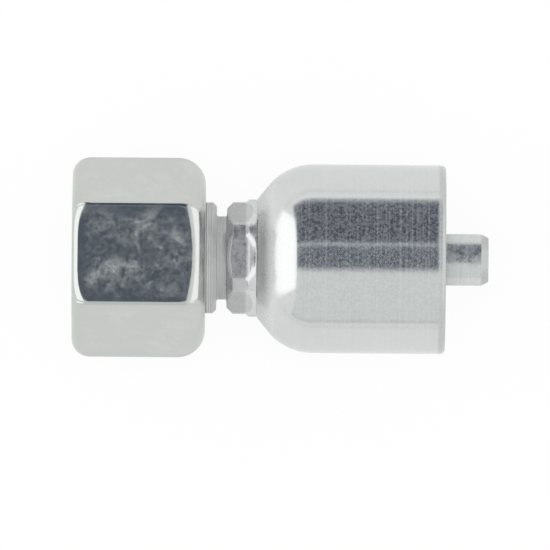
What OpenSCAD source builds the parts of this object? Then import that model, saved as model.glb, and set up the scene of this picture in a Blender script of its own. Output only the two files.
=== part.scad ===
// Crimp hose fitting: a nipple that carries a swivel nut at one end and, round its
// hose tail, a crimp shell at the other. The fitting's axis is the X axis, and it lies on
// its side. The nipple's sealing face, deep in the nut, lies at x = 0, and the hose tail
// points along +X. Profiles are drawn with x along the axis and y as the radius.

/* [Swivel nut] */
// Distance across the nut's flats
nut_af = 22; // [21:0.5:26]
// Diameter over the nut's softened corners
nut_corner_d = 25.3; // [24:0.1:25.3]
// Length of the nut
nut_len = 16.8; // [16:0.2:22]
// Rounding of the nut's front end
nut_front_round = 2.4; // [0.8:0.1:3]
// Rounding of the nut's back end, which is pressed in behind the nipple's head
nut_back_round = 3.5; // [1:0.1:4.5]
// How far the nut is turned on the nipple
nut_turn = -2.4; // [-30:0.2:30]
// Minor diameter of the nut's thread
thread_minor_d = 15.74; // [15.4:0.02:16.4]
// Major diameter of the nut's thread
thread_major_d = 17.46; // [17:0.02:18]
// Distance from the nut's mouth to the end of its thread
thread_end = 10; // [7:0.1:10.4]
// Width of the relief groove behind the thread
relief_w = 1.2; // [0.8:0.1:2]
// Length of the nut's back lip, which runs on the nipple's shank
nut_lip_len = 2.4; // [1.5:0.1:3]
// Chamfer at the back lip's outer edge
nut_lip_chamfer = 0.3; // [0.1:0.05:0.5]

/* [Nipple] */
// Distance from the nut's mouth to the nipple's sealing face
face_depth = 10.6; // [10.2:0.1:12]
// Diameter of the flow bore through the nipple
flow_bore_d = 4; // [3:0.1:4.4]
// Chamfer round the sealing face and at the flow bore's mouth
face_chamfer = 0.3; // [0.1:0.05:0.5]
// Diameter of the shank that the nut turns on
shank_d = 14; // [13:0.1:15]
// How far the shank stands out behind the nut
shank_out = 1.4; // [0.8:0.1:3]
// Chamfer at the shank's back edge
shank_chamfer = 0.45; // [0.1:0.05:0.8]
// Diameter of the neck between the shank and the wrench flats
neck_d = 10.5; // [9:0.1:12]
// Length of the neck
neck_len = 1.3; // [0.8:0.1:3]
// Distance across the nipple's six wrench flats
hex_af = 13; // [12:0.1:13.6]
// Diameter over the turned corners between the wrench flats
hex_corner_d = 14.1; // [13.8:0.1:14.6]
// Length of the wrench flats
hex_len = 2.1; // [1.5:0.1:5]
// Chamfer at the front of the wrench flats
hex_chamfer = 0.8; // [0.3:0.1:1.2]
// Radius in which the wrench flats run out into the collar
runout_round = 1.9; // [1.5:0.1:3]
// How far the nipple's wrench flats are turned from level
flats_turn = -1; // [-30:1:30]
// Diameter of the collar that the crimp shell stops against
collar_d = 14.8; // [14.7:0.1:15.2]
// Length of the ramp up to the collar
collar_ramp = 0.4; // [0.2:0.1:1]
// Width of the collar's edge behind the flats
collar_land = 0.1; // [0.05:0.05:1]
// Diameter of the seat that the shell's front lip is pressed onto
seat_d = 9.8; // [9:0.1:10.4]
// Diameter of the bead that holds the shell's lip
bead_d = 11.2; // [10.6:0.1:12]
// Width of the bead
bead_w = 1.2; // [0.8:0.1:2]

/* [Hose tail] */
// Outer diameter of the hose tail
tail_d = 6.5; // [6:0.1:7]
// How far the tail stands out of the crimp shell
tail_out = 5.4; // [4.8:0.1:10]
// Diameter of the tail's tip
tail_tip_d = 5.6; // [5.2:0.1:5.8]
// Length of the lead-in at the tail's tip
tail_lead = 1; // [0.6:0.1:1.6]
// Depth of the barbs on the tail
barb_depth = 0.35; // [0.1:0.05:0.5]
// Length of each barb's ramp
barb_ramp = 1.6; // [0.8:0.1:2.2]
// Distance from one barb to the next
barb_pitch = 2.6; // [2.4:0.1:5]
// Depth of the fine rings on the end of the tail
ring_depth = 0.12; // [0.05:0.01:0.2]
// Width of each fine ring
ring_w = 0.26; // [0.1:0.02:0.5]
// Distance from one fine ring to the next
ring_pitch = 1.26; // [0.8:0.02:1.5]

/* [Crimp shell] */
// Outer diameter of the shell
shell_d = 23.8; // [22:0.1:26]
// Length of the shell
shell_len = 23.75; // [18:0.25:40]
// Wall of the shell
shell_wall = 2.3; // [1.6:0.1:2.6]
// Radius of the shell's shoulder
shoulder_round = 7.2; // [6:0.1:8]
// Slope of the cone in front of the shoulder
cone_slope = 51; // [40:1:60]
// Length of that cone
cone_len = 1.4; // [0.8:0.1:2]
// Rounding of the shell's back edge
shell_back_round = 0.6; // [0.3:0.1:1.5]
// Chamfer inside the shell's mouth
shell_mouth_chamfer = 0.5; // [0.2:0.1:1]
// Height of the gripping ridges in the shell
ridge_h = 0.55; // [0.2:0.05:0.8]
// Width of each ridge at its top
ridge_w = 0.4; // [0.2:0.1:1]
// Distance from one ridge to the next
ridge_pitch = 2.6; // [2:0.1:5]

/* [Clearances] */
// Clearance round the shank inside the nut's back lip
swivel_gap = 0.15; // [0.05:0.01:0.3]
// Clearance round the nipple's head inside the nut
head_gap = 0.17; // [0.05:0.01:0.3]
// End float of the nut on the nipple's head
end_float = 0.25; // [0.1:0.01:0.5]
// Clearance between the shell's lip and the nipple, all round
seat_gap = 0.04; // [0.02:0.01:0.1]

/* [Hidden] */
$fn = 96;
sides = 6;
margin = 1;
// How far the shell's front cone dips under the shoulder's arc where the two meet
cone_dip = 0.01;

// Radii
minor_r = thread_minor_d / 2;
relief_r = thread_major_d / 2 + 0.1;
mouth_r = thread_major_d / 2 + 0.2;
head_r = minor_r - head_gap;
shank_r = shank_d / 2;
lip_r = shank_r + swivel_gap;
flow_r = flow_bore_d / 2;
tail_r = tail_d / 2;
hex_r = hex_corner_d / 2;
collar_r = collar_d / 2;
seat_r = seat_d / 2;
bead_r = bead_d / 2;
shell_r = shell_d / 2;
bore_r = shell_r - shell_wall;

// Places in the nut, from its mouth
nut_cone_end = nut_len - nut_lip_len;
nut_cone_x = nut_cone_end - (minor_r - lip_r);

// Places on the axis, from the sealing face to the tail's tip
mouth_x = -face_depth;
head_end = mouth_x + nut_cone_x - end_float + head_gap;
shank_end = mouth_x + nut_len + shank_out;
hex_x = shank_end + neck_len;
flats_end = hex_x + hex_len;
runout_rise = collar_r - hex_af / 2;
runout_len = sqrt(pow(runout_round, 2) - pow(runout_round - runout_rise, 2));
collar_x = flats_end + (runout_len - collar_ramp) / 4;
seat_x = flats_end + runout_len + collar_land;
shell_x = seat_x + seat_gap;
shell_end = shell_x + shell_len;
tail_end = shell_end + tail_out;

// The centre of the shoulder's arc and the radius at which the front cone runs into it
arc_x = shell_x + cone_len + (shoulder_round - cone_dip) * sin(cone_slope);
arc_r = shell_r - shoulder_round;
cone_end_r = arc_r + (shoulder_round - cone_dip) * cos(cone_slope);
rim_r = cone_end_r - cone_len * tan(cone_slope);
inner_round = shoulder_round - shell_wall;
bead_x = arc_x - sqrt(pow(inner_round, 2) - pow(bead_r - arc_r, 2)) + seat_gap;

// The gripped stretch, where the barbs and the ridges lie
grip_x = arc_x + 1;
grip_end = shell_end - 2;
barb_count = 1 + floor((grip_end - barb_ramp - grip_x) / barb_pitch);
ridge_count = 1 + floor((grip_end - grip_x) / ridge_pitch);
ring_count = floor((tail_out - tail_lead - ring_w) / ring_pitch);
ring_x = tail_end - tail_lead - ring_w / 2 - (ring_count - 1) * ring_pitch;

// Turns a profile about the fitting's axis
module turned() {
    rotate([0, 90, 0])
        rotate_extrude()
            mirror([1, -1, 0])
                children();
}

// A bar with six flats along the axis, with two of its flats level
module hex_bar(af, x, len) {
    translate([x, 0, 0])
        rotate([0, 90, 0])
            rotate([0, 0, 180 / sides])
                cylinder(d = af / cos(180 / sides), h = len, $fn = sides);
}

// What a rounding takes off the outer corner at x and r: side is -1 at a front edge, 1 at a back edge
module round_off(x, r, round, side) {
    translate([x - side * round, r - round])
        difference() {
            translate([side < 0 ? -round - margin : 0, 0])
                square(round + margin);
            circle(round);
        }
}

module nut_envelope() {
    difference() {
        square([nut_len, nut_corner_d / 2]);
        round_off(0, nut_corner_d / 2, nut_front_round, -1);
        round_off(nut_len, nut_corner_d / 2, nut_back_round, 1);
    }
}

module nut_hollow() {
    polygon([
        [-margin, 0],
        [-margin, mouth_r + margin],
        [mouth_r - minor_r, minor_r],
        [thread_end, minor_r],
        [thread_end, relief_r],
        [thread_end + relief_w, relief_r],
        [thread_end + relief_w, minor_r],
        [nut_cone_x, minor_r],
        [nut_cone_end, lip_r],
        [nut_len - nut_lip_chamfer, lip_r],
        [nut_len + margin, lip_r + nut_lip_chamfer + margin],
        [nut_len + margin, 0]
    ]);
}

module swivel_nut() {
    color("silver")
        translate([mouth_x, 0, 0])
            difference() {
                intersection() {
                    rotate([nut_turn, 0, 0])
                        hex_bar(nut_af, -margin, nut_len + 2 * margin);
                    turned() nut_envelope();
                }
                turned() nut_hollow();
            }
}

module nipple_outline() {
    polygon([
        [0, 0],
        [0, head_r - face_chamfer],
        [face_chamfer, head_r],
        [head_end, head_r],
        [head_end + head_r - shank_r, shank_r],
        [shank_end - shank_chamfer, shank_r],
        [shank_end, shank_r - shank_chamfer],
        [shank_end, neck_d / 2],
        [hex_x, neck_d / 2],
        [hex_x, hex_r - hex_chamfer],
        [hex_x + hex_chamfer, hex_r],
        [collar_x, hex_r],
        [collar_x + collar_ramp, collar_r],
        [seat_x, collar_r],
        [seat_x, seat_r],
        [bead_x, seat_r],
        [bead_x, bead_r],
        [bead_x + bead_w, bead_r],
        [bead_x + bead_w + bead_r - tail_r, tail_r],
        [tail_end - tail_lead, tail_r],
        [tail_end, tail_tip_d / 2],
        [tail_end, 0]
    ]);
}

// A groove with its ramp falling towards the tip, so that the hose slides on but not off
module barb_groove(x) {
    translate([x, tail_r])
        polygon([
            [-barb_ramp, barb_depth],
            [barb_ramp, -barb_depth],
            [barb_ramp, barb_depth]
        ]);
}

module fine_ring(x) {
    translate([x, tail_r])
        polygon([
            [-ring_w, ring_depth],
            [0, -ring_depth],
            [ring_w, ring_depth]
        ]);
}

// One wrench flat's cut, level and on top, with its run-out towards the collar
module flat_cut() {
    rotate([90, 0, 0])
        linear_extrude(hex_corner_d, center = true) {
            translate([hex_x - neck_len / 2, hex_af / 2])
                square([hex_len + neck_len / 2, 2 * runout_round]);
            translate([flats_end, hex_af / 2 + runout_round])
                circle(runout_round);
        }
}

module nipple() {
    color("gainsboro")
        difference() {
            turned()
                difference() {
                    nipple_outline();
                    for (i = [0 : barb_count - 1])
                        barb_groove(grip_x + i * barb_pitch);
                    for (i = [0 : ring_count - 1])
                        fine_ring(ring_x + i * ring_pitch);
                }
            for (i = [0 : sides - 1])
                rotate([flats_turn + i * 360 / sides, 0, 0])
                    flat_cut();
            translate([-margin, 0, 0])
                rotate([0, 90, 0])
                    cylinder(r = flow_r, h = tail_end + 2 * margin);
            turned()
                polygon([
                    [-margin, 0],
                    [-margin, flow_r + face_chamfer + margin],
                    [face_chamfer, flow_r],
                    [face_chamfer, 0]
                ]);
        }
}

// What the shoulder's arc takes off the shell, from the front cone to the skirt
module shoulder_cut() {
    translate([arc_x, arc_r])
        difference() {
            translate([-shoulder_round, cone_end_r - arc_r])
                square(shoulder_round);
            circle(shoulder_round);
        }
}

// The shell's outer shape: a front cone, the shoulder's arc and the straight skirt
module shell_outline() {
    difference() {
        polygon([
            [shell_x, 0],
            [shell_x, rim_r],
            [shell_x + (shell_r - rim_r) / tan(cone_slope), shell_r],
            [shell_end, shell_r],
            [shell_end, 0]
        ]);
        shoulder_cut();
        round_off(shell_end, shell_r, shell_back_round, 1);
    }
}

module ridge(x) {
    translate([x, bore_r])
        polygon([
            [-ridge_w / 2 - ridge_h - margin, margin],
            [-ridge_w / 2, -ridge_h],
            [ridge_w / 2, -ridge_h],
            [ridge_w / 2 + ridge_h + margin, margin]
        ]);
}

// The room for the hose, with its gripping ridges, and the hole for the nipple's seat
module shell_hollow() {
    difference() {
        union() {
            translate([arc_x, arc_r]) circle(inner_round);
            translate([arc_x, 0]) square([shell_len, bore_r]);
        }
        translate([0, -shell_d]) square([tail_end, shell_d]);
        for (i = [0 : ridge_count - 1])
            ridge(grip_x + i * ridge_pitch);
    }
    translate([shell_x - margin, 0])
        square([arc_x - shell_x + margin, seat_r + seat_gap]);
    polygon([
        [shell_end - shell_mouth_chamfer, 0],
        [shell_end - shell_mouth_chamfer, bore_r],
        [shell_end + margin, bore_r + shell_mouth_chamfer + margin],
        [shell_end + margin, 0]
    ]);
}

module crimp_shell() {
    color("lightgray")
        turned()
            difference() {
                shell_outline();
                shell_hollow();
            }
}

nipple();
crimp_shell();
swivel_nut();
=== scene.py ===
import math

import bpy
import numpy as np
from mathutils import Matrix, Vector


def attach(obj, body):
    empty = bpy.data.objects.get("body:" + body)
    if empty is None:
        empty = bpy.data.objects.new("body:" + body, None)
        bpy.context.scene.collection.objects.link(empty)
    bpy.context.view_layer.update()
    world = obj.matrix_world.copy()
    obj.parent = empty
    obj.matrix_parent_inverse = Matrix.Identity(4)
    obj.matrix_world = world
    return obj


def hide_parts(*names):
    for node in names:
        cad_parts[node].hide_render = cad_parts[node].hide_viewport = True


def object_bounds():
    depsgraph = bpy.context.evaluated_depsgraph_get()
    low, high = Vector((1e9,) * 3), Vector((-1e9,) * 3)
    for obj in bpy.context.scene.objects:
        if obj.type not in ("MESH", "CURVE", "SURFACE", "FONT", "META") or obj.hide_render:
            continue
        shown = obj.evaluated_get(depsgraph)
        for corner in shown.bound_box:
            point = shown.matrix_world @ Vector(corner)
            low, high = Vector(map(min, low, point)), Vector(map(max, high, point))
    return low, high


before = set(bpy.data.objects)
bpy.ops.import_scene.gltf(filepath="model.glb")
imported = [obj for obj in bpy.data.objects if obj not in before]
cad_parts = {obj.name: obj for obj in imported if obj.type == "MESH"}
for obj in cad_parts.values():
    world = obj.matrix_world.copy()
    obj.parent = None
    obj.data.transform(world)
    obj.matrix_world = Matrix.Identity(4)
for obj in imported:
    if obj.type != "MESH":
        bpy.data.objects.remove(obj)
cadLow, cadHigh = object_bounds()
mm = 0.001
hair = 0.001  # in mm, less than any real step in a profile
sixth = math.pi / 3  # of a turn
print("stage: frame loaded")


# Profiles: corners are (x, r, rounding) in mm, and a profile is one closed loop of (x, r) rows
def unit(v):
    return v / np.linalg.norm(v)


def softened(corners, fineness):
    rows = []
    for i, (x, r, rounding) in enumerate(corners):
        here = np.array([x, r], float)
        if rounding <= 0:
            rows.append(here)
            continue
        back = unit(np.array(corners[i - 1][:2], float) - here)
        ahead = unit(np.array(corners[(i + 1) % len(corners)][:2], float) - here)
        inside = math.acos(float(np.clip(back @ ahead, -1, 1)))
        centre = here + unit(back + ahead) * rounding / math.sin(inside / 2)
        start = here + back * rounding / math.tan(inside / 2) - centre
        end = here + ahead * rounding / math.tan(inside / 2) - centre
        turn = math.pi - inside
        steps = max(3, int(turn * (rounding * fineness + 2)))
        for k in range(steps + 1):
            share = k / steps
            arm = (math.sin((1 - share) * turn) * start + math.sin(share * turn) * end) / math.sin(turn)
            rows.append(centre + arm)
    return rows


def held(rows, edge=0.12, longest=1.2):
    # rows close to both ends of every long stretch keep its shading flat
    out = []
    for i, here in enumerate(rows):
        ahead = rows[(i + 1) % len(rows)]
        span = np.linalg.norm(ahead - here)
        out.append(here)
        if span > 4 * edge:
            pieces = max(1, int(math.ceil((span - 2 * edge) / longest)))
            for k in range(pieces + 1):
                out.append(here + (ahead - here) * (edge + (span - 2 * edge) * k / pieces) / span)
    return np.array(out)


def ringAngles(creases, halfDeg, stepDeg, across=9, clear=1.3):
    # even steps round the axis, with finer ones across each crease
    half, fullTurn = math.radians(halfDeg), 2 * math.pi
    fine = [crease + share * half for crease in creases for share in np.linspace(-1, 1, across)]
    even = []
    for angle in np.arange(0, fullTurn, math.radians(stepDeg)):
        nearest = min(abs((angle - crease + math.pi) % fullTurn - math.pi) for crease in creases)
        if nearest > half * clear:
            even.append(angle)
    return np.unique(np.round(np.mod(even + fine, fullTurn), 6))


def softMin(a, b, width):
    overlap = np.clip(width - np.abs(a - b), 0, None)
    return np.minimum(a, b) - overlap * overlap / (4 * width)


def flatRadius(angle, reach, turn, soft):
    # how far six flats at that reach from the axis stand out at each angle
    sector = np.abs((angle - math.pi / 2 - turn + sixth / 2) % sixth - sixth / 2)
    return softMin(reach / np.cos(sector), reach / np.cos(sixth - sector), soft)


def turnedPiece(name, rows, angles, body, node, shape=None):
    # the profile swept round the axis, where shape may move each point along x and r
    x, angle = np.meshgrid(rows[:, 0], angles, indexing="ij")
    r = np.repeat(rows[:, 1:2], len(angles), axis=1)
    if shape:
        x, r = shape(x, r, angle)
    points = np.stack([x, r * np.cos(angle), r * np.sin(angle)], -1).reshape(-1, 3) * mm
    n, m = len(rows), len(angles)
    i, j = np.meshgrid(np.arange(n), np.arange(m), indexing="ij")
    up, on = (i + 1) % n, (j + 1) % m
    quads = np.stack([i * m + j, i * m + on, up * m + on, up * m + j], -1).reshape(-1, 4)
    mesh = bpy.data.meshes.new(name)
    mesh.from_pydata(points.tolist(), [], quads.tolist())
    mesh.update()
    mesh.shade_smooth()
    piece = bpy.data.objects.new(name, mesh)
    bpy.context.scene.collection.objects.link(piece)
    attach(piece, body)
    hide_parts(node)
    print("piece:", name, len(quads) * 2, "triangles")
    return piece


# Swivel nut
nutSize = {
    "mouth": -10.6, "back": 6.2, "cornerR": 12.70, "flatReach": 11.0, "turnDeg": -2.4, "cornerSoft": 0.4,
    "frontRound": 2.4, "frontMidRound": 1.0, "frontPower": 4.5,
    "backRound": 3.5, "backMidRound": 2.25, "backPower": 2.2,
    "minorR": 7.87, "majorR": 8.73, "reliefR": 8.83, "mouthR": 8.93,
    "threadEnd": -0.6, "reliefEnd": 0.6, "coneStart": 3.08, "lipStart": 3.8, "lipR": 7.15, "lipChamfer": 0.3,
    "pitch": 1.5875, "flankDeg": 60, "crestShare": 0.125,
    "threadFrom": 0.13, "threadRowsFrom": 0.14, "rowsPerTurn": 14,
    "creaseDeg": 1.26, "stepDeg": 1.5,
}


def nutRows(s):
    rows = held(softened([
        (s["mouth"], s["mouthR"], 0.12),
        (s["mouth"], s["cornerR"], s["frontRound"]),
        (s["back"], s["cornerR"], s["backRound"]),
        (s["back"], s["lipR"] + s["lipChamfer"], 0.08),
        (s["back"] - s["lipChamfer"], s["lipR"], 0.08),
        (s["lipStart"], s["lipR"], 0.15),
        (s["coneStart"], s["minorR"], 0.15),
        (s["reliefEnd"], s["minorR"], 0.1),
        (s["reliefEnd"], s["reliefR"], 0.15),
        (s["threadEnd"], s["reliefR"], 0.15),
        (s["threadEnd"], s["minorR"], 0),
        (s["mouth"] + s["mouthR"] - s["minorR"], s["minorR"], 0),
    ], fineness=7))
    # the thread's stretch gets closer rows of its own
    first, last = s["mouth"] + s["threadFrom"], s["threadEnd"]
    rows = [row for row in rows if not (first < row[0] < last - hair and row[1] < s["mouthR"])]
    count = int((last - s["mouth"] - s["threadRowsFrom"]) / (s["pitch"] / s["rowsPerTurn"]))
    xs = np.linspace(last - 2 * hair, s["mouth"] + s["threadRowsFrom"], count)
    return np.array(rows + [np.array([x, s["minorR"]]) for x in xs])


def nutShape(x, r, angle):
    s = nutSize
    mouth, back = s["mouth"], s["back"]
    turn = math.radians(s["turnDeg"])
    flats = flatRadius(angle, s["flatReach"], turn, s["cornerSoft"])
    # the turned ends are rounded most at the corners and least at the middle of a flat
    toCorner = np.abs((angle - math.pi / 2 - turn + sixth / 2) % sixth * 6 / math.pi - 1)
    frontRound = s["frontMidRound"] + (s["frontRound"] - s["frontMidRound"]) * toCorner ** s["frontPower"]
    backRound = s["backMidRound"] + (s["backRound"] - s["backMidRound"]) * toCorner ** s["backPower"]
    # so the profile's rounded ends, its faces and its long stretch are scaled to each angle
    atFront = x < (mouth + back) / 2
    full = np.where(atFront, s["frontRound"], s["backRound"])
    here = np.where(atFront, frontRound, backRound)
    faceR = np.where(atFront, s["mouthR"], s["lipR"] + s["lipChamfer"])
    edgeR = s["cornerR"] - full
    rounded = flats - (s["cornerR"] - r) * here / full
    face = faceR + (r - faceR) * (flats - here - faceR) / (edgeR - faceR)
    start, stop = mouth + s["frontRound"], back - s["backRound"]
    along = mouth + frontRound + (x - start) * (back - backRound - mouth - frontRound) / (stop - start)
    along = np.where(x < start, mouth + (x - mouth) * frontRound / s["frontRound"], along)
    along = np.where(x > stop, back - (back - x) * backRound / s["backRound"], along)
    outside = (r > s["mouthR"]) | (x > back - hair)
    outer = np.where(outside, np.where(r > edgeR, rounded, np.where(r > faceR, face, r)), r)
    # right-handed thread, cut from the minor bore outwards
    phase = (x / s["pitch"] - angle / (2 * math.pi)) % 1
    flank = math.tan(math.radians(s["flankDeg"])) * s["pitch"]
    depth = np.clip((0.5 - np.abs(phase - 0.5) - s["crestShare"]) * flank, 0, s["majorR"] - s["minorR"])
    chamfer = s["mouthR"] - (x - mouth)
    threaded = np.maximum(s["minorR"] + depth, chamfer)
    inThread = (r < s["minorR"] + hair) & (x < s["threadEnd"]) & (x > mouth + s["threadFrom"])
    return np.where(outside, along, x), np.where(inThread, threaded, outer)


nutCreases = [sixth * k + math.radians(nutSize["turnDeg"]) for k in range(6)]
nutAngles = ringAngles(nutCreases, nutSize["creaseDeg"], nutSize["stepDeg"])
swivelNut = turnedPiece("swivelNutBody", nutRows(nutSize), nutAngles, "nut", "swivel_nut", nutShape)

# Crimp shell
shellSize = {
    "front": 12.755, "back": 36.505, "outerR": 11.9, "rimR": 7.5, "coneDeg": 51, "shoulderRound": 7.2,
    "backRound": 0.6, "boreR": 9.6, "innerRound": 4.65, "lipR": 4.94, "lipEnd": 14.857, "mouthChamfer": 0.5,
    "ridgeTipR": 9.05, "ridgeHalf": 0.2, "ridgeFirst": 20.743, "ridgePitch": 2.6, "ridgeCount": 6,
    "sides": 288,
}


def shellRows(s):
    coneRun = (s["outerR"] - s["rimR"]) / math.tan(math.radians(s["coneDeg"]))
    corners = [
        (s["front"], s["lipR"], 0.15),
        (s["front"], s["rimR"], 0.22),
        (s["front"] + coneRun, s["outerR"], s["shoulderRound"]),
        (s["back"], s["outerR"], s["backRound"]),
        (s["back"], s["boreR"] + s["mouthChamfer"], 0.1),
        (s["back"] - s["mouthChamfer"], s["boreR"], 0.1),
    ]
    rise = s["boreR"] - s["ridgeTipR"]
    for k in reversed(range(s["ridgeCount"])):
        x = s["ridgeFirst"] + k * s["ridgePitch"]
        corners += [
            (x + s["ridgeHalf"] + rise, s["boreR"], 0.12),
            (x + s["ridgeHalf"], s["ridgeTipR"], 0.1),
            (x - s["ridgeHalf"], s["ridgeTipR"], 0.1),
            (x - s["ridgeHalf"] - rise, s["boreR"], 0.12),
        ]
    corners += [(s["lipEnd"], s["boreR"], s["innerRound"]), (s["lipEnd"], s["lipR"], 0.1)]
    return held(softened(corners, fineness=4))


shellAngles = np.linspace(0, 2 * math.pi, shellSize["sides"], endpoint=False)
crimpShell = turnedPiece("crimpShellBody", shellRows(shellSize), shellAngles, "hose_end",
                         "crimp_shell")

# Nipple
nippleSize = {
    "headR": 7.7, "headEnd": 3.0, "shankR": 7.0, "shankEnd": 7.6, "shankChamfer": 0.45, "neckR": 5.25,
    "flatsStart": 8.9, "flatsReach": 6.5, "flatsEnd": 11.0, "runoutRound": 1.9, "turnDeg": -1, "flatSoft": 0.1,
    "cornerR": 7.05, "frontChamfer": 0.8, "rampStart": 11.304, "collarR": 7.4, "collarStart": 11.704,
    "collarEnd": 12.716, "edgeSoft": 0.12, "cutLead": 0.1, "cutClear": 0.3,
    "seatR": 4.9, "beadStart": 14.974, "beadEnd": 16.174, "beadR": 5.6, "boreR": 2.0, "faceChamfer": 0.3,
    "tailR": 3.25, "tailStart": 18.524, "tip": 41.906, "tipR": 2.8, "lead": 0.9,
    "barbFirst": 20.751, "barbPitch": 2.6, "barbCount": 5, "barbRamp": 1.6, "barbDepth": 0.35,
    "ringFirst": 38.26, "ringPitch": 1.26, "ringCount": 3, "ringHalf": 0.25, "ringDepth": 0.02,
    "creaseDeg": 1.8, "stepDeg": 2.4,
}


def nippleRows(s):
    corners = [
        (0, s["boreR"] + s["faceChamfer"], 0.05),
        (0, s["headR"] - s["faceChamfer"], 0.08),
        (s["faceChamfer"], s["headR"], 0.1),
        (s["headEnd"], s["headR"], 0.12),
        (s["headEnd"] + s["headR"] - s["shankR"], s["shankR"], 0.15),
        (s["shankEnd"] - s["shankChamfer"], s["shankR"], 0.1),
        (s["shankEnd"], s["shankR"] - s["shankChamfer"], 0.1),
        (s["shankEnd"], s["neckR"], 0.25),
        (s["flatsStart"], s["neckR"], 0.25),
        (s["flatsStart"], s["cornerR"] - s["frontChamfer"], 0.1),
        (s["flatsStart"] + s["frontChamfer"], s["cornerR"], 0.12),
        (s["rampStart"], s["cornerR"], 0.1),
        (s["collarStart"], s["collarR"], 0.1),
        (s["collarEnd"], s["collarR"], 0.08),
        (s["collarEnd"], s["seatR"], 0.08),
        (s["beadStart"], s["seatR"], 0.08),
        (s["beadStart"], s["beadR"], 0.15),
        (s["beadEnd"], s["beadR"], 0.15),
        (s["tailStart"], s["tailR"], 0.3),
    ]
    for k in range(s["barbCount"]):
        wall = s["barbFirst"] + k * s["barbPitch"]
        corners += [
            (wall, s["tailR"], 0.06),
            (wall + s["barbRamp"], s["tailR"] - s["barbDepth"], 0.08),
            (wall + s["barbRamp"] + hair, s["tailR"], 0.06),
        ]
    for k in range(s["ringCount"]):
        x = s["ringFirst"] + k * s["ringPitch"]
        corners += [
            (x - s["ringHalf"], s["tailR"], 0.08),
            (x, s["tailR"] - s["ringDepth"], 0.08),
            (x + s["ringHalf"], s["tailR"], 0.08),
        ]
    # the last ring runs straight into the tip's lead
    corners[-1] = (s["tip"] - s["lead"], s["tailR"] - s["ringDepth"], 0.1)
    corners += [
        (s["tip"], s["tipR"], 0.12),
        (s["tip"], s["boreR"], 0.12),
    ]
    return held(softened(corners, fineness=4))


def nippleShape(x, r, angle):
    # the wrench flats, which run out into the collar on an arc
    s = nippleSize
    past = np.clip(x - s["flatsEnd"], 0, s["runoutRound"])
    reach = s["flatsReach"] + s["runoutRound"] - np.sqrt(s["runoutRound"] ** 2 - past ** 2)
    flats = flatRadius(angle, reach, math.radians(s["turnDeg"]), s["flatSoft"])
    along = (x > s["flatsStart"] - s["cutLead"]) & (x < s["collarEnd"] + hair)
    cut = along & (r > s["neckR"] + s["cutClear"])
    return x, np.where(cut, softMin(r, flats, s["edgeSoft"]), r)


creaseHalf = math.acos(nippleSize["flatsReach"] / nippleSize["cornerR"])
nippleCreases = [math.pi / 2 + math.radians(nippleSize["turnDeg"]) + sixth * k + side * creaseHalf
                 for k in range(6) for side in (-1, 1)]
nippleAngles = ringAngles(nippleCreases, nippleSize["creaseDeg"], nippleSize["stepDeg"])
nipple = turnedPiece("nippleBody", nippleRows(nippleSize), nippleAngles, "hose_end", "nipple",
                     nippleShape)
print("stage: pieces made")


# Shader maths: a wire is one output socket, and Python's operators add the nodes
class Wire:
    def __init__(self, graph, socket):
        self.graph, self.socket = graph, socket

    def joined(self, operation, first, second):
        if self.socket.type == "VALUE":
            return self.graph.node("Math", {"operation": operation}, {0: first, 1: second})
        if self.socket.type == "VECTOR":
            return self.graph.node("VectorMath", {"operation": operation}, {0: first, 1: second})
        settings = {"data_type": "RGBA", "blend_type": operation}
        return self.graph.node("Mix", settings, {0: 1.0, 6: first, 7: second}, 2)

    def __add__(self, other):
        return self.joined("ADD", self, other)

    def __radd__(self, other):
        return self.joined("ADD", other, self)

    def __sub__(self, other):
        return self.joined("SUBTRACT", self, other)

    def __rsub__(self, other):
        return self.joined("SUBTRACT", other, self)

    def __mul__(self, other):
        return self.joined("MULTIPLY", self, other)

    def __rmul__(self, other):
        return self.joined("MULTIPLY", other, self)

    def __pow__(self, other):
        return self.joined("POWER", self, other)

    def __rpow__(self, other):
        return self.joined("POWER", other, self)


class Graph:
    def __init__(self, tree):
        self.tree = tree
        tree.nodes.clear()

    def node(self, kind, settings=None, values=None, out=0):
        made = self.tree.nodes.new("ShaderNode" + kind)
        for name, value in (settings or {}).items():
            setattr(made, name, value)
        for key, value in (values or {}).items():
            if isinstance(value, Wire):
                self.tree.links.new(value.socket, made.inputs[key])
            else:
                made.inputs[key].default_value = value
        return Wire(self, made.outputs[out]) if made.outputs else made

    def outputs(self, wire, names):
        # more wires from the node that one wire comes out of
        return [Wire(self, wire.socket.node.outputs[name]) for name in names]

    def noise(self, place, size, detail=3.0, rough=0.55, twist=0.0):
        return self.node("TexNoise", {"noise_dimensions": "3D"}, {
            "Vector": place, "Scale": 1 / size, "Detail": detail, "Roughness": rough, "Distortion": twist})

    def band(self, value, low, high, outLow=0.0, outHigh=1.0):
        return self.node("MapRange", {"interpolation_type": "SMOOTHSTEP"}, {
            "Value": value, "From Min": low, "From Max": high, "To Min": outLow, "To Max": outHigh})

    def ramp(self, value, low, high):
        return self.node("MapRange", None, {"Value": value, "From Min": low, "From Max": high})

    def blend(self, share, first, second):
        return self.node("Mix", {"data_type": "RGBA"}, {0: share, 6: first, 7: second}, 2)


def rgb(r, g, b):
    return (r, g, b, 1.0)


def newFinish(name):
    material = bpy.data.materials.new(name)
    material.use_nodes = True
    return material, Graph(material.node_tree)


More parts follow.
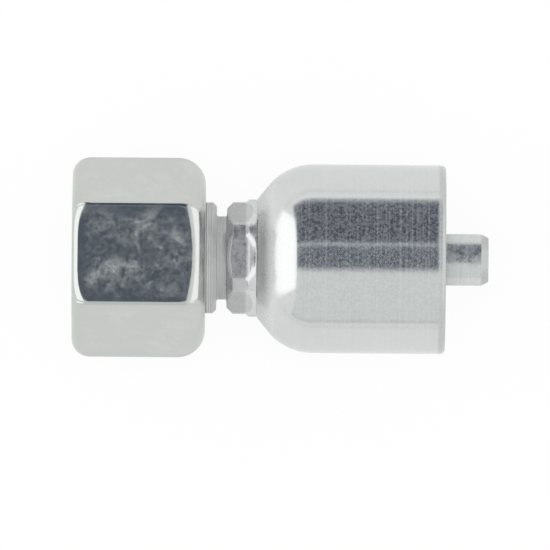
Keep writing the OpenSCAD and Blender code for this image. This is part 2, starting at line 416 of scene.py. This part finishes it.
# Zinc plating, with lengths and heights in mm. Haze is the share of light that it scatters, not mirrors.
# A satin zone is (first x, last x, softness of its ends, greatest radius, added haze, shade of its colour). Its
# haze is a satin finish; its colour shade is the part's own tone on the head and shank, painted shade on the
# back rim, the tip and the recess between nut and shell, and painted light on the neck.
plainFinish = {
    "coarseTimes": 5, "coarseFrom": 0.35, "coarseTo": 0.65, "coarseLow": 0.5, "coarseHigh": 1.5,
    "lineHaze": 0.1, "lineFrom": 0.44, "lineTo": 0.66, "speckFrom": 0.38, "speckTo": 0.64, "dentSize": 1.5,
    "marks": (), "markHalf": 0.02, "markEdge": 0.09, "markDepth": 0.004,
    "turnedTo": -20.0, "turnedRun": 1.0, "turnedHeight": 0.0, "turnedRough": 0.0, "turnedHaze": 0.0,
    "satinAndPaintedLight": (), "satinEdge": 0.04, "burnish": 0.0,
}
nutFinish = dict(plainFinish, **{
    "base": rgb(0.55, 0.567, 0.55), "stain": rgb(0.555, 0.575, 0.553), "roughness": 0.16, "cloudRough": 0.05,
    "cloudSize": 3.6, "cloudFrom": 0.49, "cloudTo": 0.65, "cloudHaze": 0.24,
    "speckSize": 0.55, "speckHaze": 0.085, "lineHaze": 0.0,
    "ringPitch": 0.5, "ringHeight": 0.0004, "dentHeight": 0.012,
    "burnish": 0.75, "burnishCorner": (0.05, 0.3), "burnishFront": (-9.3, -8.3),
})
shellFinish = dict(plainFinish, **{
    "base": rgb(0.615, 0.63, 0.625), "stain": rgb(0.625, 0.635, 0.63), "roughness": 0.13, "cloudRough": 0.03,
    "cloudSize": 3.0, "cloudFrom": 0.4, "cloudTo": 0.65, "cloudHaze": 0.03,
    "speckSize": 0.36, "speckHaze": 0.15,
    "ringPitch": 0.36, "ringHeight": 0.003, "dentSize": 2.5, "dentHeight": 0.002,
    "marks": (27.26, 33.3, 33.9, 34.5, 35.1),
    "turnedTo": 14.4, "turnedRun": 2.0, "turnedRough": 0.14, "turnedHaze": 0.18,
    "satinAndPaintedLight": ((13.9, 14.9, 0.45, 20.0, 0.35, 1.0),  # in front of the shoulder
              (35.6, 37.0, 0.2, 20.0, 0.6, 0.72)),  # back rim, darkened with painted shade that dims its reflection
})
nippleFinish = dict(plainFinish, **{
    "base": rgb(0.63, 0.642, 0.64), "stain": rgb(0.65, 0.66, 0.655), "roughness": 0.26, "cloudRough": 0.06,
    "cloudSize": 1.6, "cloudFrom": 0.38, "cloudTo": 0.7, "cloudHaze": 0.34,
    "speckSize": 0.5, "speckHaze": 0.16, "ringPitch": 0.2, "ringHeight": 0.003, "dentHeight": 0.01,
    "turnedTo": 8.3, "turnedRun": 0.6, "turnedHeight": 0.3, "turnedRough": 0.05, "turnedHaze": 0.26,
    "satinAndPaintedLight": ((-1.0, 8.5, 0.2, 20.0, 0.3, 0.9),  # head and shank
              (7.6, 8.9, 0.1, 5.6, 0.15, 1.06),  # neck, lightened with painted light where it lies in shade between nut and shell
              (8.8, 11.3, 0.2, 20.0, 0.05, 0.78),  # in front of the collar, darkened with painted shade in the recess between nut and shell
              (8.8, 12.8, 0.1, 6.97, 0.1, 0.82),  # milled wrench flats, darkened with painted shade in the recess between nut and shell
              (41.0, 43.0, 0.2, 20.0, 0.5, 0.68)),  # tip, darkened with painted shade that dims the highlight on its lead
})


def zincPlate(name, finish):
    material, g = newFinish(name)
    place = g.node("TexCoord", out=3) * (1 / mm, 1 / mm, 1 / mm)
    x, y, z = g.outputs(g.node("SeparateXYZ", None, {0: place}), "XYZ")
    radius = (y * y + z * z) ** 0.5
    turned = g.node("CombineXYZ", None, {0: x, 1: radius, 2: 0.0})
    # turning marks run round the axis, and are stronger on the stretch that was only rough turned
    rough = g.band(x, finish["turnedTo"], finish["turnedTo"] + finish["turnedRun"], 1.0, 0.0)
    fine = g.noise(turned, finish["ringPitch"], rough=0.6)
    coarse = g.noise(turned, finish["coarseTimes"] * finish["ringPitch"], detail=2.0)
    uneven = g.band(coarse, finish["coarseFrom"], finish["coarseTo"], finish["coarseLow"], finish["coarseHigh"])
    height = fine * (finish["ringHeight"] + rough * finish["turnedHeight"]) * uneven
    for mark in finish["marks"]:
        away = g.node("Math", {"operation": "ABSOLUTE"}, {0: x - mark})
        height = height + g.band(away, finish["markHalf"], finish["markEdge"], -finish["markDepth"], 0.0)
    # dents from the tumbling barrel, smoky patches, and fine specks
    dents = g.noise(place, finish["dentSize"], detail=4.0, rough=0.6, twist=0.6)
    smoke = g.noise(place, finish["cloudSize"], detail=7.0, rough=0.72, twist=0.4)
    cloud = g.ramp(smoke, finish["cloudFrom"], finish["cloudTo"])
    grains = g.noise(place, finish["speckSize"], detail=2.0, rough=0.6)
    specks = g.ramp(grains, finish["speckFrom"], finish["speckTo"])
    lines = g.band(fine, finish["lineFrom"], finish["lineTo"])
    fineHaze = specks * finish["speckHaze"] + lines * finish["lineHaze"]
    haze = cloud * finish["cloudHaze"] + fineHaze * (1 - rough) + rough * finish["turnedHaze"]
    if finish["burnish"]:
        # handling has burnished the hexagon's edges and its open end
        around = g.node("Math", {"operation": "ARCTAN2"}, {0: z, 1: y})
        sector = (around - math.radians(nutSize["turnDeg"]) + 2 * math.pi) * (6 / math.pi)
        fromCorner = g.node("Math", {"operation": "PINGPONG"}, {0: sector, 1: 1.0})
        edge = g.node("Math", {"operation": "MAXIMUM"}, {
            0: g.band(fromCorner, *finish["burnishCorner"], 1.0, 0.0),
            1: g.band(x, *finish["burnishFront"], 1.0, 0.0)})
        haze = haze * (1 - edge * finish["burnish"])
    colour = g.blend(cloud, finish["base"], finish["stain"])
    # each zone adds haze and scales the colour: own tone on the head and shank, painted shade on the back rim,
    # the tip and the recess between nut and shell, painted light on the neck
    for first, last, soft, below, dulling, shade in finish["satinAndPaintedLight"]:
        within = g.band(x, first - soft, first + soft) * g.band(x, last - soft, last + soft, 1.0, 0.0)
        zone = within * g.band(radius, below - finish["satinEdge"], below + finish["satinEdge"], 1.0, 0.0)
        haze = haze + zone * dulling
        colour = g.blend(zone, colour, colour * rgb(shade, shade, shade))
    height = height + dents * finish["dentHeight"]
    bump = g.node("Bump", None, {"Strength": 1.0, "Distance": mm, "Height": height})
    roughness = finish["roughness"] + cloud * finish["cloudRough"] + rough * finish["turnedRough"]
    shader = g.node("BsdfPrincipled", None, {
        "Base Color": colour, "Metallic": 1 - haze, "Roughness": roughness, "Normal": bump})
    g.node("OutputMaterial", None, {"Surface": shader})
    return material


for piece, finish in ((swivelNut, nutFinish), (crimpShell, shellFinish), (nipple, nippleFinish)):
    piece.data.materials.append(zincPlate(piece.name.replace("Body", "Zinc"), finish))
print("stage: finishes made")

# Floor, world, lamps, camera, and the dark hood that the bright metal mirrors. Lengths in mm.
# A strip of the hood is (first, last, colour), in degrees over the fitting from one side to the other.
# A lamp is (name, place, width, height, power, whether the metal mirrors it).
studio = {
    "centre": (15.0, -2.1), "cameraHeight": 3000.0, "viewWidth": 69.4, "rollDeg": 0.47, "sensorWidth": 36.0,
    "floorHalf": 3000, "floorShare": 0.93, "mirroredFloorShare": 0.4, "floorColour": rgb(0.75, 0.75, 0.75),
    "worldLight": 0.9, "hoodReach": 450.0, "hoodHalfLength": 281.0, "hoodPoints": 24,
    "hoodStrips": ((-84.0, -78.5, rgb(1.1, 1.1, 1.1)), (-78.5, -73.0, rgb(0.35, 0.36, 0.38)),
                   (-73.0, -19.9, rgb(0.08, 0.095, 0.135)), (-19.9, -15.6, rgb(0.48, 0.51, 0.55)),
                   (-15.6, 11.0, rgb(0.116, 0.138, 0.178)), (11.0, 15.0, rgb(0.5, 0.52, 0.54)),
                   (15.0, 80.5, rgb(0.84, 0.86, 0.86)), (80.5, 84.0, rgb(0.62, 0.64, 0.65))),
    "lamps": (("boxLeft", (-560, 60, 330), 1120, 900, 1.9, True),
              ("boxRight", (620, 0, 180), 1000, 450, 0.7, True),
              ("boxTop", (15, 0, 700), 300, 300, 1.6, False)),
}


def seenRays(g, mirrored=1.0):
    # camera, mirror and glass rays see the plain white background
    rays = ("Is Camera Ray", "Is Glossy Ray", "Is Transmission Ray")
    straight, mirror, glass = g.outputs(g.node("LightPath"), rays)
    return g.node("Math", {"operation": "MINIMUM"}, {0: straight + mirror * mirrored + glass, 1: 1.0})


def floorFinish():
    material, g = newFinish("paleFloor")
    paper = g.node("BsdfDiffuse", None, {"Color": studio["floorColour"]})
    glow = g.node("Emission", None, {"Color": rgb(1, 1, 1), "Strength": 1.0})
    share = seenRays(g, studio["mirroredFloorShare"]) * studio["floorShare"]
    g.node("OutputMaterial", None, {"Surface": g.node("MixShader", None, {0: share, 1: paper, 2: glow})})
    return material


def hoodFinish(colour):
    material, g = newFinish("hoodCard")
    g.node("OutputMaterial", None, {"Surface": g.node("Emission", None, {"Color": colour, "Strength": 1.0})})
    return material


def stagePiece(name, points, faces, material):
    mesh = bpy.data.meshes.new(name)
    mesh.from_pydata([[c * mm for c in p] for p in points], [], faces)
    mesh.update()
    mesh.materials.append(material)
    thing = bpy.data.objects.new(name, mesh)
    bpy.context.scene.collection.objects.link(thing)
    return thing


floorZ, half = cadLow.z / mm, studio["floorHalf"]
floorCorners = [(-half, -half, floorZ), (half, -half, floorZ), (half, half, floorZ), (-half, half, floorZ)]
stagePiece("floor", floorCorners, [(0, 1, 2, 3)], floorFinish())

middle, reach = studio["centre"][0], studio["hoodReach"]
ends = (middle - studio["hoodHalfLength"], middle + studio["hoodHalfLength"])
for number, (first, last, colour) in enumerate(studio["hoodStrips"]):
    turns = np.radians(np.linspace(first, last, studio["hoodPoints"]))
    points = [(x, -reach * math.sin(t), reach * math.cos(t)) for t in turns for x in ends]
    faces = [(2 * k, 2 * k + 1, 2 * k + 3, 2 * k + 2) for k in range(len(turns) - 1)]
    card = stagePiece("hood" + str(number), points, faces, hoodFinish(colour))
    card.visible_camera = card.visible_diffuse = card.visible_shadow = card.visible_transmission = False

world = bpy.data.worlds.new("studioWorld")
bpy.context.scene.world = world
world.use_nodes = True
g = Graph(world.node_tree)
strength = studio["worldLight"] + seenRays(g) * (1 - studio["worldLight"])
background = g.node("Background", None, {"Color": rgb(1, 1, 1), "Strength": strength})
g.node("OutputWorld", None, {"Surface": background})


def softBox(name, place, width, height, power, mirrored):
    lamp = bpy.data.lights.new(name, "AREA")
    lamp.shape, lamp.size, lamp.size_y, lamp.energy = "RECTANGLE", width * mm, height * mm, power
    thing = bpy.data.objects.new(name, lamp)
    bpy.context.scene.collection.objects.link(thing)
    thing.location = Vector(place) * mm
    aim = Vector((middle * mm, 0, 0)) - thing.location
    thing.rotation_euler = aim.to_track_quat("-Z", "Y").to_euler()
    thing.visible_camera, thing.visible_glossy = False, mirrored


for lampSettings in studio["lamps"]:
    softBox(*lampSettings)

bpy.context.scene.view_settings.view_transform = "Standard"
lens = bpy.data.cameras.new("camera")
lens.sensor_width = studio["sensorWidth"]
lens.lens = studio["sensorWidth"] * studio["cameraHeight"] / studio["viewWidth"]
camera = bpy.data.objects.new("camera", lens)
bpy.context.scene.collection.objects.link(camera)
camera.location = (middle * mm, studio["centre"][1] * mm, studio["cameraHeight"] * mm)
camera.rotation_euler = (0, 0, math.radians(studio["rollDeg"]))
bpy.context.scene.camera = camera
print("stage: studio set")
